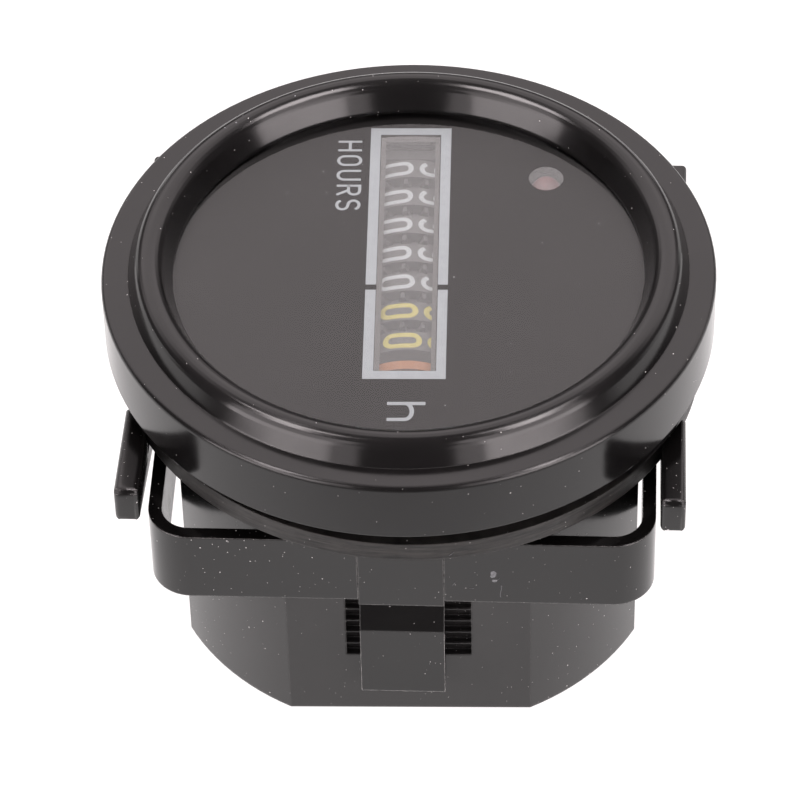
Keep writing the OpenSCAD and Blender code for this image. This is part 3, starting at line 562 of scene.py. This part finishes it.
def dense(points, closed, step=0.3):
    """Adds points along long straight runs, so that strokes bend round a wheel."""
    out = []
    n = len(points)
    for i in range(n if closed else n - 1):
        a, b = points[i], points[(i + 1) % n]
        parts = max(1, int(math.hypot(b[0] - a[0], b[1] - a[1]) / step))
        for j in range(parts):
            out.append((a[0] + (b[0] - a[0]) * j / parts, a[1] + (b[1] - a[1]) * j / parts))
    if not closed:
        out.append(points[-1])
    return out


def add_legends(white):
    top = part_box("dial_plate")[1][2] + 0.00001

    def flat(u, v, lift):
        return (v * MM, -u * MM, top + lift)

    def x_at(side, y):
        a, b = FRAME_SIDES[side]
        return a + (b - a) * (FRAME_FAR - y) / (FRAME_FAR - FRAME_NEAR)

    # Frame printed round the window, broken by a gap in each long side
    bars = []
    for one, two in (("left_out", "left_in"), ("right_in", "right_out")):
        bars += [(one, two, FRAME_GAP[0], FRAME_FAR), (one, two, FRAME_NEAR, FRAME_GAP[1])]
    for y0, y1 in ((FRAME_FAR_IN, FRAME_FAR), (FRAME_NEAR, FRAME_NEAR_IN)):
        bars.append(("left_in", "right_in", y0, y1))
    verts, faces = [], []
    for one, two, y0, y1 in bars:
        i = len(verts)
        for side, y in ((one, y0), (two, y0), (two, y1), (one, y1)):
            verts.append((x_at(side, y) * MM, y * MM, top))
        faces.append((i, i + 1, i + 2, i + 3))
    add_mesh("window_frame_print", verts, faces, white, "case")
    # Legends
    strokes = []
    for i, c in enumerate("HOURS"):
        u0 = HOURS_START + HOURS_STEP * (i + 0.5)
        for points, closed in glyph(c, *HOURS_SIZE):
            strokes.append(([(u + u0, v + HOURS_LINE) for u, v in points], closed, HOURS_STROKE))
    for points, closed in glyph("h", *UNIT_SIZE):
        strokes.append(([(u + UNIT_PLACE[0], v + UNIT_PLACE[1]) for u, v in points], closed, UNIT_STROKE))
    strokes_mesh("dial_legends", strokes, flat, white, "case")


# Bracket with rounded wing ends, in millimetres
WING_INNER_X, WING_END_Y, TONGUE_X = 23.9, 22.0, 10.0
SIDE_ROUNDING, END_ROUNDING, ACROSS_LENGTH = 0.55, 0.18, 0.9


def round_wings():
    """A copy of the bracket, with the long edges of its wings' ends rounded first and then those across."""
    source = nodes["mounting_bracket"]
    bm = bmesh.new()
    bm.from_mesh(source.data)
    bmesh.ops.remove_doubles(bm, verts=bm.verts, dist=1e-6)
    bmesh.ops.dissolve_limit(bm, angle_limit=math.radians(0.5), verts=bm.verts, edges=bm.edges)
    for across, offset in ((False, SIDE_ROUNDING), (True, END_ROUNDING)):
        picked = []
        for e in bm.edges:
            a, b = (v.co for v in e.verts)
            on_wing = min(abs(a.x), abs(b.x)) > WING_INNER_X * MM
            at_end = max(abs(a.y), abs(b.y)) > WING_END_Y * MM
            if on_wing and at_end and (abs(a.x - b.x) > ACROSS_LENGTH * MM) == across:
                if e.calc_face_angle() > math.radians(40):
                    picked.append(e)
        bmesh.ops.bevel(bm, geom=picked, offset=offset * MM, offset_type="OFFSET", segments=7,
                        profile=0.5, affect="EDGES", clamp_overlap=True)
    mesh = bpy.data.meshes.new("bracket_rounded")
    bm.to_mesh(mesh)
    bm.free()
    mesh.shade_smooth()
    mesh.set_sharp_from_angle(angle=math.radians(15))
    for e in mesh.edges:
        if max(abs(mesh.vertices[i].co.x) for i in e.vertices) < TONGUE_X * MM:
            e.use_edge_sharp = True
    mesh.materials.append(source.material_slots[0].material)
    obj = bpy.data.objects.new("bracket_rounded", mesh)
    scene.collection.objects.link(obj)
    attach(obj, "bracket")
    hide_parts("mounting_bracket")


# Clear film in the dial's window and in the lamp's hole, in millimetres
WINDOW_X, WINDOW_Y = (-3.07, 2.77), (-12.79, 20.31)
LAMP_PLACE, LAMP_HOLE_R = (13.3, 14.0), 1.7
FILM_SINK, FILM_THICK, FILM_TAPER, LAMP_TAPER = 0.01, 0.1, 0.11, 0.98


def add_film(name, outline, inner, material):
    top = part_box("dial_plate")[1][2] / MM - FILM_SINK
    n = len(outline)
    verts = [Vector((x, y, top)) * MM for x, y in outline]
    verts += [Vector((x, y, top - FILM_THICK)) * MM for x, y in inner]
    faces = [tuple(range(n)), tuple(range(2 * n - 1, n - 1, -1))]
    faces += [(i, n + i, n + (i + 1) % n, (i + 1) % n) for i in range(n)]
    add_mesh(name, verts, faces, material, "case")


def rectangle(inset):
    x0, x1 = WINDOW_X[0] + inset, WINDOW_X[1] - inset
    y0, y1 = WINDOW_Y[0] + inset, WINDOW_Y[1] - inset
    return [(x0, y0), (x1, y0), (x1, y1), (x0, y1)]


def circle(radius):
    return arc(*LAMP_PLACE, radius, radius, 0, 360, 60)[:-1]


def add_films():
    film = make_clear("clear_film", 2.75, 0.2)
    add_film("window_film", rectangle(0.0), rectangle(FILM_TAPER), film)
    add_film("lamp_film", circle(LAMP_HOLE_R), circle(LAMP_HOLE_R * LAMP_TAPER), film)


# Lint and crumbs that the photo shows, in millimetres, with turns and rises in degrees
BRACKET_TURN, BRACKET_FRONT = 1.4, 23.95
FIBRES = ((4.5, -12.5, 0.1, 0.25), (8.98, -13.4, 0.02, 0.85),
          (8.75, -11.7, 0.08, 0.15), (6.2, -13.1, 0.22, 0.05))
ALONG = (-1, -0.5, 0, 0.5, 1)
GASKET_R, GASKET_FIBRE_X, GASKET_FIBRE_Y, GASKET_FIBRE_Z = 28.47, 4.4, -28.11, -3.85
BEAD_R, BEAD_Z, BEAD_ROUND = 24.975, 7.4, 1.5
CRUMBS = ((132.5, 58), (131.2, 74), (134.0, 90), (129.0, 65), (137.0, 80), (118.0, 95))


def tube(points, radius, sides=5):
    """Vertices and faces of a thin tube along the points."""
    verts, faces = [], []
    n = len(points)
    for i, p in enumerate(points):
        d = (Vector(points[min(i + 1, n - 1)]) - Vector(points[max(i - 1, 0)])).normalized()
        side = d.orthogonal().normalized()
        other = d.cross(side)
        for k in range(sides):
            a = 2 * math.pi * k / sides
            verts.append(Vector(p) + (side * math.cos(a) + other * math.sin(a)) * radius)
    for i in range(n - 1):
        for k in range(sides):
            a, b = i * sides + k, i * sides + (k + 1) % sides
            faces.append((a, b, b + sides, a + sides))
    return verts, faces


def lump(center, u, v, out, width, height, thick, rng):
    """Vertices and faces of a small ragged dome on a surface with the directions u, v and out."""
    verts, faces = [center + out * thick], []
    rings, around = 3, 14
    for r in range(1, rings + 1):
        share = r / rings
        for k in range(around):
            a = 2 * math.pi * k / around
            w = share * (0.75 + 0.4 * rng.random())
            lift = thick * (1 - share) * (0.6 + 0.6 * rng.random())
            verts.append(center + u * (w * width * math.cos(a)) + v * (w * height * math.sin(a)) + out * lift)
    for k in range(around):
        faces.append((0, 1 + k, 1 + (k + 1) % around))
    for r in range(rings - 1):
        for k in range(around):
            a, b = 1 + r * around + k, 1 + r * around + (k + 1) % around
            faces.append((a, a + around, b + around, b))
    return verts, faces


def on_front(x, z, out=0.0):
    """A point on the front face of the turned bracket, in metres."""
    turn = math.radians(BRACKET_TURN)
    return Vector((x, -x * math.tan(turn) - BRACKET_FRONT / math.cos(turn) - out, z)) * MM


def add_lint():
    rng = random.Random(7)
    mat = make_lint()
    across, up, front = Vector((1, 0, 0)), Vector((0, 0, 1)), Vector((0, -1, 0))
    verts, faces = [], []

    def join(part):
        i = len(verts)
        verts.extend(part[0])
        faces.extend(tuple(i + k for k in f) for f in part[1])

    join(lump(on_front(8.29, -11.1), across, up, front, 0.34 * MM, 0.5 * MM, 0.12 * MM, rng))
    join(lump(on_front(8.4, -11.95), across, up, front, 0.3 * MM, 0.2 * MM, 0.04 * MM, rng))
    for x, z, dx, dz in FIBRES:
        pts = [on_front(x + dx * t + 0.04 * math.sin(3 * t), z + dz * t, 0.02) for t in ALONG]
        join(tube(pts, 0.022 * MM))
    add_mesh("lint_bracket", verts, faces, mat, "bracket")
    verts, faces = [], []
    pts = []
    for t in ALONG:
        a = math.atan2(GASKET_FIBRE_Y, GASKET_FIBRE_X) + 0.008 * t
        pts.append(Vector((GASKET_R * math.cos(a), GASKET_R * math.sin(a), GASKET_FIBRE_Z + 0.22 * t)) * MM)
    join(tube(pts, 0.025 * MM))
    for turn, rise in CRUMBS:
        a, e = math.radians(turn), math.radians(rise)
        radial = Vector((math.cos(a), math.sin(a), 0.0))
        out = radial * math.cos(e) + up * math.sin(e)
        u = Vector((-math.sin(a), math.cos(a), 0.0))
        place = (radial * BEAD_R + up * BEAD_Z + out * BEAD_ROUND) * MM
        size = (0.05 + 0.06 * rng.random()) * MM
        join(lump(place, u, out.cross(u), out, size, size, 0.04 * MM, rng))
    add_mesh("lint_case", verts, faces, mat, "case")


# Stage and light, in metres
WARM = (1.0, 0.915, 0.925)
FLOOR_REACH = 3.0
FLAG_START, FLAG_FULL, FLAG_RISE = -0.06, -0.15, 0.0005
LIGHT_DISTANCE = 0.9


def plate(name, y1, z, mat):
    """A flat sheet of the stage, from far in front of the object to y1."""
    size = FLOOR_REACH
    corners = [(-size, -size, z), (size, -size, z), (size, y1, z), (-size, y1, z)]
    mesh = bpy.data.meshes.new(name)
    mesh.from_pydata(corners, [], [(0, 1, 2, 3)])
    mesh.materials.append(mat.done())
    obj = bpy.data.objects.new(name, mesh)
    scene.collection.objects.link(obj)
    return obj


def set_stage():
    """A white floor, and on it, well in front of the object, a dark flag for the reflections. The camera
    doesn't see the flag, and it casts no shadow."""
    white = Mat("floor_white")
    tone = white.ramp(white.noise(6.0, 3.0), 0.3, 0.7)
    white.put(Base_Color=white.mix(tone, (0.1, 0.1, 0.1), (0.14, 0.14, 0.14)), Roughness=0.9,
              Emission_Color=(1.0, 0.97, 0.97, 1.0), Emission_Strength=1.02)
    plate("floor", FLOOR_REACH, cad_box[0][2], white)
    dark = Mat("flag_dark")
    sep = dark.node("ShaderNodeSeparateXYZ")
    dark.link(dark.coord, sep.inputs["Vector"])
    dark.put(Base_Color=(0.01, 0.01, 0.01, 1.0), Roughness=0.9, Emission_Color=(0.06, 0.058, 0.058, 1.0),
             Emission_Strength=1.02, Alpha=dark.ramp(sep.outputs["Y"], FLAG_FULL, FLAG_START, 1.0, 0.0))
    flag = plate("flag", FLAG_START, cad_box[0][2] + FLAG_RISE, dark)
    flag.visible_camera = False
    flag.visible_shadow = False


def softbox(name, turn, rise, width, height, radiance, glossy=True, diffuse=True):
    """A soft light at a turn from the front and a rise over the horizon, in degrees."""
    a, e = math.radians(turn), math.radians(rise)
    place = Vector((math.sin(a) * math.cos(e), -math.cos(a) * math.cos(e), math.sin(e))) * LIGHT_DISTANCE
    data = bpy.data.lights.new(name, "AREA")
    data.shape = "RECTANGLE"
    data.size = width
    data.size_y = height
    data.color = WARM
    data.energy = radiance * math.pi * width * height
    obj = bpy.data.objects.new(name, data)
    obj.location = place
    obj.rotation_euler = (-place).to_track_quat("-Z", "Y").to_euler()
    obj.visible_camera = False
    obj.visible_glossy = glossy
    obj.visible_diffuse = diffuse
    scene.collection.objects.link(obj)


def set_light():
    """A sky that is bright high at the back, softboxes at both sides of the front and one overhead."""
    world = bpy.data.worlds.new("studio")
    scene.world = world
    world.use_nodes = True
    t = world.node_tree
    bg = t.nodes["Background"]
    coord = t.nodes.new("ShaderNodeTexCoord")
    sep = t.nodes.new("ShaderNodeSeparateXYZ")
    t.links.new(coord.outputs["Generated"], sep.inputs["Vector"])
    high = None
    for axis, low, top in (("Y", 0.1, 0.55), ("Z", 0.15, 0.55)):
        ramp = t.nodes.new("ShaderNodeMapRange")
        ramp.interpolation_type = "SMOOTHSTEP"
        ramp.inputs["From Min"].default_value = low
        ramp.inputs["From Max"].default_value = top
        t.links.new(sep.outputs[axis], ramp.inputs["Value"])
        both = t.nodes.new("ShaderNodeMath")
        both.operation = "MULTIPLY"
        both.inputs[1].default_value = 1.8
        if high is not None:
            t.links.new(high, both.inputs[1])
        t.links.new(ramp.outputs["Result"], both.inputs[0])
        high = both.outputs["Value"]
    total = t.nodes.new("ShaderNodeMath")
    total.operation = "ADD"
    total.inputs[1].default_value = 0.15
    t.links.new(high, total.inputs[0])
    t.links.new(total.outputs["Value"], bg.inputs["Strength"])
    bg.inputs["Color"].default_value = WARM + (1.0,)
    for side, turn, power in (("left", -1, 6.0), ("right", 1, 6.5)):
        softbox("key_" + side, 47 * turn, 9.5, 0.65, 0.35, power)
        softbox("fade_" + side, 21.5 * turn, 9.5, 0.14, 0.35, power / 3, diffuse=False)
        softbox("rise_" + side, 47 * turn, 35, 0.65, 0.45, power / 2, diffuse=False)
        softbox("top_" + side, 75 * turn, 65, 0.32, 0.32, 14.0, diffuse=False)
    softbox("overhead", 0, 90, 0.6, 0.6, 8.5, glossy=False)


scene.view_settings.view_transform = "Standard"
scene.view_settings.look = "None"
set_camera()
dress()
round_wings()
white_ink = ink("ink_white", (0.31, 0.335, 0.35))
# Painted light: the digits' white ink is made brighter than the dial's white print, to make up for the shade
# inside the window.
digit_ink_lifted = ink("ink_digit_lifted", (0.46, 0.484, 0.495))
yellow_ink = ink("ink_yellow", (0.5, 0.43, 0.08))
add_digits(digit_ink_lifted, yellow_ink)
add_legends(white_ink)
add_films()
add_lint()
set_stage()
set_light()
